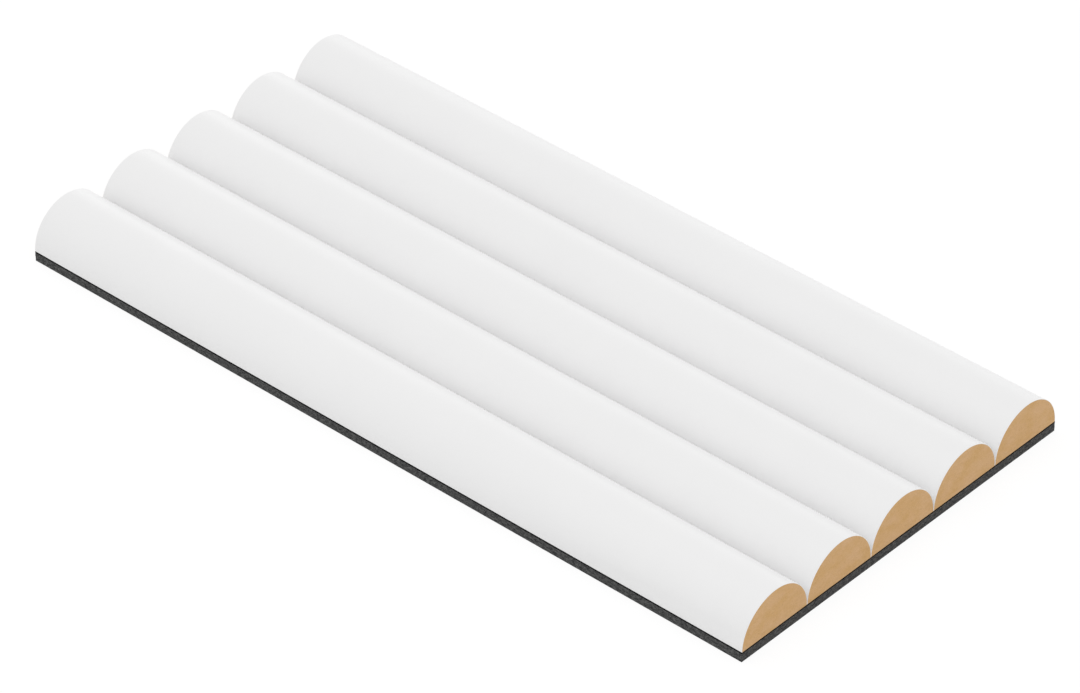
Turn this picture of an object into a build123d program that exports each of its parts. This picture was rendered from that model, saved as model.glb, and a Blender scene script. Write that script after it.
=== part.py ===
from build123d import *
import os

# Fluted wall panel: half-round slats side by side on a felt backing.
# Each slat is a fibreboard core with a thin white foil wrapped over its curved face,
# and a black adhesive film holds the slats' flat backs to the felt.
# Sizes are millimetres. The panel lies on its back: +Y runs along the slats, +X across
# them and +Z out of the flutes. The origin is the middle of the felt's underside.

# Driving dimensions
slat_count = 5
slat_pitch = 40.0
slat_joint = 0.1
panel_length = 400.0
foil_thickness = 0.15
felt_thickness = 4.25
film_thickness = 0.75

# Worked out from them
slat_radius = (slat_pitch - slat_joint) / 2
core_radius = slat_radius - foil_thickness
panel_width = slat_count * slat_pitch
slat_back_height = felt_thickness + film_thickness


def half_disc(radius):
    """Half-round section in the XZ plane, flat side down on the local origin."""
    with BuildSketch(Plane.XZ) as section:
        Circle(radius)
        with Locations((0, -radius)):
            Rectangle(2 * radius, 2 * radius, mode=Mode.SUBTRACT)
    return section.sketch


def along_panel(section, centre):
    """Draws a section along the whole length of the panel, at one slat's place."""
    return extrude(section, amount=panel_length / 2, both=True).moved(Location(centre))


def slat_core(centre):
    """Fibreboard half-round, sawn square at both ends."""
    return along_panel(half_disc(core_radius), centre)


def slat_foil(centre):
    """Foil wrapped from one lower edge of the slat over its crown to the other."""
    wrap = half_disc(slat_radius) - half_disc(core_radius)
    return along_panel(wrap, centre)


def backing_sheet(thickness, underside_height):
    """Flat sheet as long and as wide as the panel."""
    sheet = Box(
        panel_width,
        panel_length,
        thickness,
        align=(Align.CENTER, Align.CENTER, Align.MIN),
    )
    return sheet.moved(Location((0, 0, underside_height)))


def slat_centres():
    """Middle of each slat's flat back, from the left of the panel to the right."""
    first = -(slat_count - 1) * slat_pitch / 2
    return [(first + slat * slat_pitch, 0, slat_back_height) for slat in range(slat_count)]


def build_panel():
    """All the pieces by name."""
    pieces = {
        "felt_backing": backing_sheet(felt_thickness, 0),
        "adhesive_film": backing_sheet(film_thickness, felt_thickness),
    }
    for number, centre in enumerate(slat_centres(), start=1):
        pieces[f"slat_core_{number}"] = slat_core(centre)
        pieces[f"slat_foil_{number}"] = slat_foil(centre)
    return pieces


os.makedirs("parts", exist_ok=True)
for name, piece in build_panel().items():
    export_step(piece, f"parts/{name}.step")
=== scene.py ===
import bmesh
import bpy
import math
import random
from collections import namedtuple
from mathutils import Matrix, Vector, noise


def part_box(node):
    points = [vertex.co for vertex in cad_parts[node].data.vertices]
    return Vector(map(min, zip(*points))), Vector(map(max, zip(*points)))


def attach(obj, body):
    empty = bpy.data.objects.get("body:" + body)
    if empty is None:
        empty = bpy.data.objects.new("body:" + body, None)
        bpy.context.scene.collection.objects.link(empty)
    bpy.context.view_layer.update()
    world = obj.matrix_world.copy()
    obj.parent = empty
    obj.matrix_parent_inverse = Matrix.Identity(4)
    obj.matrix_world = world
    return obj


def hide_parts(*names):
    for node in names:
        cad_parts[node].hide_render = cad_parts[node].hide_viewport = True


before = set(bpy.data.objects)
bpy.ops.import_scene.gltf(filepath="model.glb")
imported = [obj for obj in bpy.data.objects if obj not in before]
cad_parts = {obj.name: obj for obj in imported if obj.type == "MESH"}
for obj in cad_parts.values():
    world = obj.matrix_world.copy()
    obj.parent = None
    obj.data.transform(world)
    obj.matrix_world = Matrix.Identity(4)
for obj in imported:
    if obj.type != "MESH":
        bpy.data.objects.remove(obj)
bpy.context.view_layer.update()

# Fluted wall panel, finished around its solids. Sizes are metres in the solids' own frame:
# +Y runs along the slats, +X across them and +Z out of the flutes.
MM = 0.001
ROOT = "root"
SLAT_COUNT = sum(node.startswith("slat_core_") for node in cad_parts)


# Mesh help

CREASE_ANGLE = math.radians(15)
SAME_PLACE = 0.001 * MM


def finish_mesh(name, bm):
    """Turns a bmesh into an object, smooth over its curves and crisp at its corners."""
    bmesh.ops.recalc_face_normals(bm, faces=bm.faces)
    for face in bm.faces:
        face.smooth = True
    for edge in bm.edges:
        edge.smooth = len(edge.link_faces) == 2 and edge.calc_face_angle() < CREASE_ANGLE
    mesh = bpy.data.meshes.new(name)
    bm.to_mesh(mesh)
    bm.free()
    piece = bpy.data.objects.new(name, mesh)
    bpy.context.scene.collection.objects.link(piece)
    return piece


def ease_edges(bm, edges, offset):
    """Takes the sharpness off edges with a small round."""
    bmesh.ops.bevel(
        bm,
        geom=edges,
        offset=offset,
        offset_type="OFFSET",
        affect="EDGES",
        segments=2,
        profile=0.5,
        material=-1,
    )


def dress(piece, finish, slot_name, *nodes):
    """Gives a piece its finish and its body, and hides the solids it stands for. The slot name is not
    used.
    """
    piece.data.materials.clear()
    piece.data.materials.append(finish)
    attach(piece, ROOT)
    if nodes:
        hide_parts(*nodes)


# Slats

ARC_STEPS = 96
FOIL_ARRIS = 0.05 * MM


class Slat:
    """Place and section of one slat, read from its solids."""

    def __init__(self, number):
        self.number = number
        self.core_node = f"slat_core_{number}"
        self.foil_node = f"slat_foil_{number}"
        core_low, core_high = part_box(self.core_node)
        foil_low, foil_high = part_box(self.foil_node)
        self.arc_centre = Vector(((foil_low.x + foil_high.x) / 2, foil_low.y, foil_low.z))
        self.core_radius = (core_high.x - core_low.x) / 2
        self.foil_radius = (foil_high.x - foil_low.x) / 2
        self.near_end = foil_low.y
        self.far_end = foil_high.y


def sweep_half_round(bm, geometry, slat):
    """Turns geometry from the slat's right edge over its crown to its left edge."""
    bmesh.ops.spin(
        bm,
        geom=geometry,
        cent=slat.arc_centre,
        axis=(0, -1, 0),
        angle=math.pi,
        steps=ARC_STEPS,
        use_merge=False,
        use_duplicate=False,
    )


def draw_along_slat(bm, slat):
    """Draws the section's faces out from the slat's near end to its far end."""
    drawn = bmesh.ops.extrude_face_region(bm, geom=bm.faces[:])
    far_points = [part for part in drawn["geom"] if isinstance(part, bmesh.types.BMVert)]
    bmesh.ops.translate(bm, verts=far_points, vec=(0, slat.far_end - slat.near_end, 0))


def outer_rims(bm, slat):
    """The foil's two outer cut edges, one at each end of the slat."""
    def is_rim(point):
        at_end = min(abs(point.y - slat.near_end), abs(point.y - slat.far_end)) < SAME_PLACE
        outside = (point - slat.arc_centre).xz.length > slat.foil_radius - SAME_PLACE
        return at_end and outside

    def runs_across(edge):
        return abs(edge.verts[0].co.y - edge.verts[1].co.y) < SAME_PLACE

    return [e for e in bm.edges if runs_across(e) and all(is_rim(v.co) for v in e.verts)]


def foil_piece(slat):
    """White foil over the curved face, its cut ends very slightly eased."""
    bm = bmesh.new()
    inner = bm.verts.new(slat.arc_centre + Vector((slat.core_radius, 0, 0)))
    outer = bm.verts.new(slat.arc_centre + Vector((slat.foil_radius, 0, 0)))
    lip = bm.edges.new((inner, outer))
    sweep_half_round(bm, [inner, outer, lip], slat)
    draw_along_slat(bm, slat)
    ease_edges(bm, outer_rims(bm, slat), FOIL_ARRIS)
    return finish_mesh(f"foil_wrap_{slat.number}", bm)


def core_piece(slat):
    """Fibreboard half-round inside the foil."""
    bm = bmesh.new()
    edge_point = bm.verts.new(slat.arc_centre + Vector((slat.core_radius, 0, 0)))
    sweep_half_round(bm, [edge_point], slat)
    bmesh.ops.contextual_create(bm, geom=bm.verts[:] + bm.edges[:])
    draw_along_slat(bm, slat)
    return finish_mesh(f"fibreboard_core_{slat.number}", bm)


# Backing

# A grid divides each layer's faces across and along the panel, and rows divide its cut edges in height
FELT_GRID = 2.0 * MM
FELT_ROWS = 8
FELT_EASING = 0.06 * MM
FELT_UNEVENNESS = 0.08 * MM
FELT_CLUMP = 1.6 * MM

FILM_GRID = 4.0 * MM
FILM_ROWS = 1
FILM_EASING = 0.02 * MM
FILM_UNEVENNESS = 0.04 * MM
FILM_CLUMP = 9.0 * MM

# How far a point's normal tips up on a cut side at most, and on a level face at least
SIDE_TIP = 0.5
LEVEL_TIP = 0.999


class Layer:
    """Place of one flat layer of the backing, read from its solid."""

    def __init__(self, node):
        self.node = node
        self.low, self.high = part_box(node)
        self.size = self.high - self.low
        self.middle = (self.low + self.high) / 2


def divide_along(bm, axis, length, parts):
    """Divides the edges that run the whole way along one axis into equal parts."""
    def runs_along(edge):
        return abs(edge.verts[0].co[axis] - edge.verts[1].co[axis]) > length / 2

    runs = [edge for edge in bm.edges if runs_along(edge)]
    bmesh.ops.subdivide_edges(bm, edges=runs, cuts=parts - 1, use_grid_fill=True)


def make_uneven(bm, depth, clump):
    """Moves the cut sides in and out and dimples the underside, in soft clumps."""
    bm.normal_update()
    moves = []
    for point in bm.verts:
        normal = point.normal
        swell = noise.noise(point.co / clump)
        if abs(normal.z) < SIDE_TIP:
            moves.append((point, Vector((normal.x, normal.y, 0)) * swell * depth))
        elif normal.z < -LEVEL_TIP:
            moves.append((point, Vector((0, 0, abs(swell) * depth))))
    for point, move in moves:
        point.co += move


def layer_piece(name, layer, grid, rows, easing, unevenness, clump):
    """One flat layer of the backing, with cut edges that are slightly soft and uneven."""
    bm = bmesh.new()
    bmesh.ops.create_cube(bm, size=1.0)
    bmesh.ops.scale(bm, vec=layer.size, verts=bm.verts)
    bmesh.ops.translate(bm, vec=layer.middle, verts=bm.verts)
    ease_edges(bm, bm.edges[:], easing)
    parts = (round(layer.size.x / grid), round(layer.size.y / grid), rows)
    for axis in range(3):
        if parts[axis] > 1:
            divide_along(bm, axis, layer.size[axis], parts[axis])
    make_uneven(bm, unevenness, clump)
    return finish_mesh(name, bm)


# Loose fibre ends on the felt's cut edges

FIBRE_COUNT = 4200
FIBRE_SEED = 7
FIBRE_RADIUS = 0.011 * MM
FIBRE_ROOT = 0.25 * MM
FIBRE_REACH = (0.03 * MM, 0.22 * MM)
FIBRE_LEAN = 0.45 * MM
FIBRE_RISE = FIBRE_LEAN / 2
FIBRE_MARGIN = 0.3 * MM
FIBRE_WELD = 0.0002 * MM

# Shares of the lean at a fibre's bend, of the reach at its tip, and of the radius at its three points
FIBRE_BEND = (0.2, 0.6)
FIBRE_TIP = (0.3, 1.0)
FIBRE_TAPER = (1.0, 0.9, 0.45)

CutEdge = namedtuple("CutEdge", "middle outward along half_length")


def cut_edges(layer):
    """The felt's four cut edges."""
    middle = layer.middle
    half_x, half_y = layer.size.x / 2, layer.size.y / 2
    across, along = Vector((1, 0, 0)), Vector((0, 1, 0))
    return [
        CutEdge(middle - across * half_x, -across, along, half_y),
        CutEdge(middle + across * half_x, across, along, half_y),
        CutEdge(middle - along * half_y, -along, across, half_x),
        CutEdge(middle + along * half_y, along, across, half_x),
    ]


def fibre_points(chance, layer, edge):
    """Three points of one fibre, rooted in the felt and curling out of its cut edge."""
    upward = Vector((0, 0, 1))
    half_height = layer.size.z / 2 - FIBRE_MARGIN
    root = edge.middle + edge.along * chance.uniform(-1, 1) * (edge.half_length - FIBRE_MARGIN)
    height = chance.uniform(-half_height, half_height)
    reach = chance.uniform(*FIBRE_REACH)
    lean = chance.gauss(0, FIBRE_LEAN)
    rise = chance.gauss(0, FIBRE_RISE)
    bend = chance.uniform(*FIBRE_BEND)
    tip = chance.uniform(*FIBRE_TIP)
    tip_height = max(-half_height, min(half_height, height + rise))
    return (
        root - edge.outward * FIBRE_ROOT + upward * height,
        root + edge.outward * reach + edge.along * lean * bend + upward * height,
        root + edge.outward * reach * tip + edge.along * lean + upward * tip_height,
    )


def add_fibre(curve, points):
    """One fibre as a tapering line of the curve."""
    spline = curve.splines.new("POLY")
    spline.points.add(len(points) - 1)
    for spot, place, thickness in zip(spline.points, points, FIBRE_TAPER):
        spot.co = (*place, 1.0)
        spot.radius = thickness


def empty_fibre_curve():
    """Curve whose lines become fine tubes with closed ends."""
    curve = bpy.data.curves.new("fibre_lines", "CURVE")
    curve.dimensions = "3D"
    curve.bevel_depth = FIBRE_RADIUS
    curve.bevel_resolution = 0
    curve.use_fill_caps = True
    return curve


def tubes_from(curve):
    """The curve's tubes as a bmesh. The curve itself goes."""
    lines = bpy.data.objects.new("fibre_lines", curve)
    bpy.context.scene.collection.objects.link(lines)
    bpy.context.view_layer.update()
    tubes = bpy.data.meshes.new_from_object(lines)
    bm = bmesh.new()
    bm.from_mesh(tubes)
    bmesh.ops.remove_doubles(bm, verts=bm.verts, dist=FIBRE_WELD)
    bpy.data.objects.remove(lines)
    bpy.data.curves.remove(curve)
    bpy.data.meshes.remove(tubes)
    return bm


def fibre_piece(layer):
    """All the loose fibres, as one mesh of fine closed tubes."""
    chance = random.Random(FIBRE_SEED)
    edges = cut_edges(layer)
    lengths = [edge.half_length for edge in edges]
    curve = empty_fibre_curve()
    for edge in chance.choices(edges, weights=lengths, k=FIBRE_COUNT):
        add_fibre(curve, fibre_points(chance, layer, edge))
    return finish_mesh("felt_edge_fibres", tubes_from(curve))


# Node help

NOISE_MIDDLE = 0.5
SPECK_RIM = 0.55
SPECK_HEART = 0.2


class Tree:
    """Short calls for making and joining the nodes of one tree."""

    def __init__(self, tree):
        self.tree = tree
        self.nodes = tree.nodes

    def add(self, kind, **settings):
        """A new node, with its settings."""
        node = self.nodes.new(kind)
        for key, value in settings.items():
            setattr(node, key, value)
        return node

    def feed(self, socket, value):
        """Joins another node's output to a socket, or sets the socket's own value."""
        if isinstance(value, bpy.types.NodeSocket):
            self.tree.links.new(value, socket)
        else:
            socket.default_value = value

    def math(self, operation, a, b=0.0):
        """Output of one Math node on two sockets or numbers."""
        node = self.add("ShaderNodeMath", operation=operation)
        self.feed(node.inputs[0], a)
        self.feed(node.inputs[1], b)
        return node.outputs["Value"]

    def remap(self, value, low, high):
        """Brings low to high of a value to 0 to 1, and holds it there."""
        node = self.add("ShaderNodeMapRange")
        self.feed(node.inputs["Value"], value)
        self.feed(node.inputs["From Min"], low)
        self.feed(node.inputs["From Max"], high)
        return node.outputs["Result"]


class Pattern(Tree):
    """A node group that several finishes share. Its sizes are metres, and it gives a mask, 0 to 1."""

    def __init__(self, name, **inputs):
        super().__init__(bpy.data.node_groups.new(name, "ShaderNodeTree"))
        sockets = self.tree.interface
        sockets.new_socket(name="Place", in_out="INPUT", socket_type="NodeSocketVector")
        for label, value in inputs.items():
            title = label.replace("_", " ")
            socket = sockets.new_socket(name=title, in_out="INPUT", socket_type="NodeSocketFloat")
            socket.default_value = value
        sockets.new_socket(name="Mask", in_out="OUTPUT", socket_type="NodeSocketFloat")
        self.given = self.add("NodeGroupInput").outputs
        self.out = self.add("NodeGroupOutput").inputs["Mask"]

    def in_cells(self, size):
        """The place counted in cells of a size, squeezed along Z by the flatness."""
        upright = self.math("DIVIDE", size, self.given["Flatness"])
        cell = self.add("ShaderNodeCombineXYZ")
        for axis, length in zip("XYZ", (size, size, upright)):
            self.feed(cell.inputs[axis], length)
        node = self.add("ShaderNodeVectorMath", operation="DIVIDE")
        self.feed(node.inputs[0], self.given["Place"])
        self.feed(node.inputs[1], cell.outputs["Vector"])
        return node.outputs["Vector"]

    def noise(self, place, detail, roughness, distortion=0.0):
        """Smooth noise with one swell to a cell."""
        node = self.add("ShaderNodeTexNoise")
        self.feed(node.inputs["Vector"], place)
        self.feed(node.inputs["Scale"], 1.0)
        self.feed(node.inputs["Detail"], detail)
        self.feed(node.inputs["Roughness"], roughness)
        self.feed(node.inputs["Distortion"], distortion)
        return node.outputs["Fac"]


def mottle_pattern():
    """Soft patches of uneven tone or height; the spread is how soft their borders are."""
    pattern = Pattern("mottle", Patch_Size=0.01, Flatness=1.0, Spread=0.2)
    patches = pattern.noise(pattern.in_cells(pattern.given["Patch Size"]), detail=3.0, roughness=0.55)
    low = pattern.math("SUBTRACT", NOISE_MIDDLE, pattern.given["Spread"])
    high = pattern.math("ADD", NOISE_MIDDLE, pattern.given["Spread"])
    pattern.feed(pattern.out, pattern.remap(patches, low, high))
    return pattern.tree


def fibre_pattern():
    """Thin curling lines, as of pressed fibres."""
    pattern = Pattern("fibres", Loop_Size=0.001, Flatness=1.0, Thickness=0.05)
    place = pattern.in_cells(pattern.given["Loop Size"])
    field = pattern.noise(place, detail=2.0, roughness=0.6, distortion=0.8)
    off_line = pattern.math("ABSOLUTE", pattern.math("SUBTRACT", field, NOISE_MIDDLE))
    pattern.feed(pattern.out, pattern.remap(off_line, pattern.given["Thickness"], 0.0))
    return pattern.tree


def speck_pattern():
    """Scattered specks, each in a cell of its own; the share says how many cells have one."""
    pattern = Pattern("specks", Speck_Size=0.001, Flatness=1.0, Share=0.2)
    cells = pattern.add("ShaderNodeTexVoronoi")
    pattern.feed(cells.inputs["Vector"], pattern.in_cells(pattern.given["Speck Size"]))
    pattern.feed(cells.inputs["Scale"], 1.0)
    draw = pattern.add("ShaderNodeSeparateColor")
    pattern.feed(draw.inputs["Color"], cells.outputs["Color"])
    chosen = pattern.math("LESS_THAN", draw.outputs["Red"], pattern.given["Share"])
    body = pattern.remap(cells.outputs["Distance"], SPECK_RIM, SPECK_HEART)
    pattern.feed(pattern.out, pattern.math("MULTIPLY", chosen, body))
    return pattern.tree


MOTTLE = mottle_pattern()
FIBRES = fibre_pattern()
SPECKS = speck_pattern()


class Finish(Tree):
    """One material's tree, with its shader and the object coordinates."""

    def __init__(self, name):
        self.material = bpy.data.materials.new(name)
        self.material.use_nodes = True
        super().__init__(self.material.node_tree)
        self.shader = self.nodes["Principled BSDF"]
        self.place = self.add("ShaderNodeTexCoord").outputs["Object"]

    def pattern(self, group, **values):
        """One of the shared patterns, with its own sizes."""
        node = self.add("ShaderNodeGroup", node_tree=group)
        self.feed(node.inputs["Place"], self.place)
        for label, value in values.items():
            self.feed(node.inputs[label.replace("_", " ")], value)
        return node.outputs["Mask"]

    def ramp(self, mask, low, high):
        """Grey or colour that goes from low to high as the mask goes from 0 to 1."""
        node = self.add("ShaderNodeValToRGB")
        for element, tone in zip(node.color_ramp.elements, (low, high)):
            colour = tone if isinstance(tone, tuple) else (tone, tone, tone)
            element.color = (*colour, 1.0)
        self.feed(node.inputs["Fac"], mask)
        return node.outputs["Color"]

    def tint(self, base, colour, mask, strength):
        """Brings the base towards a colour where the mask is."""
        node = self.add("ShaderNodeMix", data_type="RGBA")
        self.feed(node.inputs["Factor"], self.math("MULTIPLY", mask, strength))
        self.feed(node.inputs["A"], base)
        self.feed(node.inputs["B"], (*colour, 1.0))
        return node.outputs["Result"]

    def bump(self, height, depth, below=None):
        """Bump whose full height range is depth, in metres."""
        node = self.add("ShaderNodeBump")
        self.feed(node.inputs["Distance"], depth)
        self.feed(node.inputs["Height"], height)
        if below is not None:
            self.feed(node.inputs["Normal"], below)
        return node.outputs["Normal"]

    def set(self, **values):
        """Sets or feeds the shader's own sockets."""
        for key, value in values.items():
            self.feed(self.shader.inputs[key.replace("_", " ")], value)
        return self.material


# Finishes

def white_foil():
    """Satin white finishing foil, smooth but for a trace of orange peel."""
    white = (0.934, 0.932, 0.933)
    brighter_white = (0.943, 0.941, 0.942)
    foil = Finish("satin_white_foil")
    tone = foil.pattern(MOTTLE, Patch_Size=28 * MM)
    gloss = foil.pattern(MOTTLE, Patch_Size=2.4 * MM)
    waves = foil.bump(foil.pattern(MOTTLE, Patch_Size=9 * MM), depth=0.008 * MM)
    peel = foil.bump(foil.pattern(MOTTLE, Patch_Size=1.2 * MM), depth=0.003 * MM, below=waves)
    return foil.set(
        Base_Color=foil.ramp(tone, white, brighter_white),
        Roughness=foil.ramp(gloss, low=0.3, high=0.36),
        Normal=peel,
    )


def fibreboard():
    """Sawn fibreboard: fine flat-lying fibres with small light and dark specks."""
    honey = (0.7, 0.428, 0.178)
    pale_tan = (0.755, 0.48, 0.25)
    dust_brown = (0.57, 0.335, 0.147)
    straw = (0.84, 0.57, 0.31)
    bark_brown = (0.36, 0.2, 0.085)
    board = Finish("sawn_fibreboard")
    patches = board.pattern(MOTTLE, Patch_Size=7 * MM, Flatness=1.6, Spread=0.16)
    grain = board.pattern(MOTTLE, Patch_Size=0.9 * MM, Flatness=2.2)
    fibres = board.pattern(FIBRES, Loop_Size=1.6 * MM, Flatness=2.0, Thickness=0.05)
    dark_specks = board.pattern(SPECKS, Speck_Size=0.6 * MM, Flatness=1.6, Share=0.09)
    body = board.ramp(patches, honey, pale_tan)
    body = board.tint(body, dust_brown, grain, strength=0.3)
    body = board.tint(body, straw, fibres, strength=0.35)
    body = board.tint(body, bark_brown, dark_specks, strength=0.35)
    sawn = board.bump(grain, depth=0.06 * MM)
    return board.set(
        Base_Color=body,
        Roughness=board.ramp(grain, low=0.78, high=0.9),
        Specular_IOR_Level=0.25,
        Normal=board.bump(fibres, depth=0.02 * MM, below=sawn),
    )


def grey_felt():
    """Pressed felt: dark and pale fibres matted in flat layers, with pale lint."""
    charcoal = (0.031, 0.032, 0.034)
    mid_grey = (0.13, 0.13, 0.128)
    coal = (0.028, 0.029, 0.031)
    ash = (0.19, 0.19, 0.187)
    pale_ash = (0.24, 0.24, 0.236)
    lint_grey = (0.26, 0.26, 0.255)
    felt = Finish("pressed_grey_felt")
    heather = felt.pattern(MOTTLE, Patch_Size=2 * MM, Flatness=2.0, Spread=0.11)
    dark_fibres = felt.pattern(FIBRES, Loop_Size=1.1 * MM, Flatness=2.4, Thickness=0.07)
    pale_fibres = felt.pattern(FIBRES, Loop_Size=0.7 * MM, Flatness=2.4, Thickness=0.05)
    long_fibres = felt.pattern(FIBRES, Loop_Size=2.2 * MM, Flatness=3.0, Thickness=0.014)
    lint = felt.pattern(SPECKS, Speck_Size=0.65 * MM, Flatness=2.0, Share=0.18)
    body = felt.ramp(heather, charcoal, mid_grey)
    body = felt.tint(body, coal, dark_fibres, strength=0.55)
    body = felt.tint(body, ash, pale_fibres, strength=0.45)
    body = felt.tint(body, pale_ash, long_fibres, strength=0.6)
    body = felt.tint(body, lint_grey, lint, strength=0.5)
    clumps = felt.bump(heather, depth=0.1 * MM)
    return felt.set(
        Base_Color=body,
        Roughness=felt.ramp(heather, low=0.92, high=1.0),
        Specular_IOR_Level=0.12,
        Normal=felt.bump(pale_fibres, depth=0.06 * MM, below=clumps),
    )


def black_film():
    """Black adhesive film, dull at its cut edge; its near-black colour is partly painted shade of a
    gap line.
    """
    film = Finish("glue_layer_and_painted_shade")
    smear = film.pattern(MOTTLE, Patch_Size=3 * MM)
    return film.set(
        # Near-black base colour and weak specular are painted shade, so the film reads as the shadow
        # line of a gap.
        Base_Color=film.ramp(smear, low=0.0015, high=0.004),
        Roughness=film.ramp(smear, low=0.6, high=0.8),
        Specular_IOR_Level=0.05,
        Normal=film.bump(smear, depth=0.02 * MM),
    )


# Stage

CAMERA_AIM = Vector((0.0, -0.0028, 0.00003))
CAMERA_DISTANCE = 2.438
CAMERA_AZIMUTH = math.radians(-47.97)
CAMERA_ELEVATION = math.radians(37.15)
CAMERA_LENS = 192.14
CAMERA_SENSOR = 36.0
CAMERA_REACH = 100.0


def towards(azimuth, elevation):
    """Unit vector from the panel towards a viewer; azimuth 0 stands in front, on -Y."""
    return Vector((
        math.sin(azimuth) * math.cos(elevation),
        -math.cos(azimuth) * math.cos(elevation),
        math.sin(elevation),
    ))


def add_camera():
    """Camera at the photo's viewing angle."""
    camera = bpy.data.objects.new("camera", bpy.data.cameras.new("camera"))
    camera.data.sensor_width = CAMERA_SENSOR
    camera.data.lens = CAMERA_LENS
    camera.data.clip_end = CAMERA_REACH
    camera.location = CAMERA_AIM + towards(CAMERA_AZIMUTH, CAMERA_ELEVATION) * CAMERA_DISTANCE
    camera.rotation_euler = (CAMERA_AIM - camera.location).to_track_quat("-Z", "Y").to_euler()
    bpy.context.scene.collection.objects.link(camera)
    bpy.context.scene.camera = camera


def add_softbox(name, place, width, height, power):
    """Soft lamp turned towards the panel."""
    lamp = bpy.data.lights.new(name, "AREA")
    lamp.shape = "RECTANGLE"
    lamp.size = width
    lamp.size_y = height
    lamp.energy = power
    box = bpy.data.objects.new(name, lamp)
    box.location = place
    box.rotation_euler = (-Vector(place)).to_track_quat("-Z", "Y").to_euler()
    bpy.context.scene.collection.objects.link(box)


def seen_directly(tree, camera_share=1.0):
    """1 for rays from glossy and clear surfaces, and the camera's share for its own rays."""
    path = tree.add("ShaderNodeLightPath").outputs
    reflected = tree.math("MAXIMUM", path["Is Glossy Ray"], path["Is Transmission Ray"])
    return tree.math("MAXIMUM", reflected, tree.math("MULTIPLY", path["Is Camera Ray"], camera_share))


def add_world(light, background):
    """Even light from all round; the camera and glossy surfaces see a white background."""
    world = bpy.data.worlds.new("studio")
    world.use_nodes = True
    bpy.context.scene.world = world
    studio = Tree(world.node_tree)
    surface = studio.nodes["Background"]
    studio.feed(surface.inputs["Color"], (1.0, 1.0, 1.0, 1.0))
    strength = studio.add("ShaderNodeMapRange")
    studio.feed(strength.inputs["Value"], seen_directly(studio))
    studio.feed(strength.inputs["To Min"], light)
    studio.feed(strength.inputs["To Max"], background)
    studio.feed(surface.inputs["Strength"], strength.outputs["Result"])


def floor_finish(white, camera_share):
    """Pale floor that is seen as white but keeps the panel's faint shadow."""
    finish = Finish("floor_white")
    finish.set(Base_Color=(0.86, 0.86, 0.86, 1.0), Roughness=1.0, Specular_IOR_Level=0.0)
    glow = finish.add("ShaderNodeEmission")
    finish.feed(glow.inputs["Strength"], white)
    blend = finish.add("ShaderNodeMixShader")
    finish.feed(blend.inputs["Fac"], seen_directly(finish, camera_share))
    finish.feed(blend.inputs[1], finish.shader.outputs["BSDF"])
    finish.feed(blend.inputs[2], glow.outputs["Emission"])
    finish.feed(finish.nodes["Material Output"].inputs["Surface"], blend.outputs["Shader"])
    return finish.material


def add_floor(reach, white, camera_share):
    """Floor under the panel, out to the reach on every side."""
    bm = bmesh.new()
    bmesh.ops.create_grid(bm, x_segments=1, y_segments=1, size=reach)
    floor = finish_mesh("floor", bm)
    floor.data.materials.append(floor_finish(white, camera_share))


# Build

def build_slats():
    """The slats, each a sawn core in its foil wrap."""
    foil_finish = white_foil()
    board_finish = fibreboard()
    for number in range(1, SLAT_COUNT + 1):
        slat = Slat(number)
        dress(foil_piece(slat), foil_finish, "white_foil", slat.foil_node)
        dress(core_piece(slat), board_finish, "fibreboard", slat.core_node)


def build_felt():
    """The felt backing, with the loose fibres on its cut edges."""
    layer = Layer("felt_backing")
    board = layer_piece(
        "felt_board",
        layer,
        grid=FELT_GRID,
        rows=FELT_ROWS,
        easing=FELT_EASING,
        unevenness=FELT_UNEVENNESS,
        clump=FELT_CLUMP,
    )
    finish = grey_felt()
    dress(board, finish, "grey_felt", layer.node)
    dress(fibre_piece(layer), finish, "grey_felt")


def build_film():
    """The black film that holds the slats to the felt. Its blackness is partly painted shade of the
    gap between them.
    """
    layer = Layer("adhesive_film")
    film = layer_piece(
        "film_sheet_and_painted_shade",
        layer,
        grid=FILM_GRID,
        rows=FILM_ROWS,
        easing=FILM_EASING,
        unevenness=FILM_UNEVENNESS,
        clump=FILM_CLUMP,
    )
    dress(film, black_film(), "black_film", layer.node)


def set_stage():
    """Camera, even studio light with three weak softboxes, and a pale floor."""
    add_camera()
    add_world(light=0.82, background=1.0)
    add_softbox("overhead_softbox", place=(-0.3, -0.05, 1.0), width=1.1, height=1.3, power=1.1)
    add_softbox("right_softbox", place=(1.3, 0.8, 0.35), width=1.1, height=0.6, power=0.6)
    add_softbox("far_softbox", place=(0.7, 1.3, 0.35), width=1.2, height=0.7, power=0.8)
    add_floor(reach=12.0, white=1.06, camera_share=0.85)
    bpy.context.scene.view_settings.view_transform = "Standard"


build_slats()
build_felt()
build_film()
set_stage()
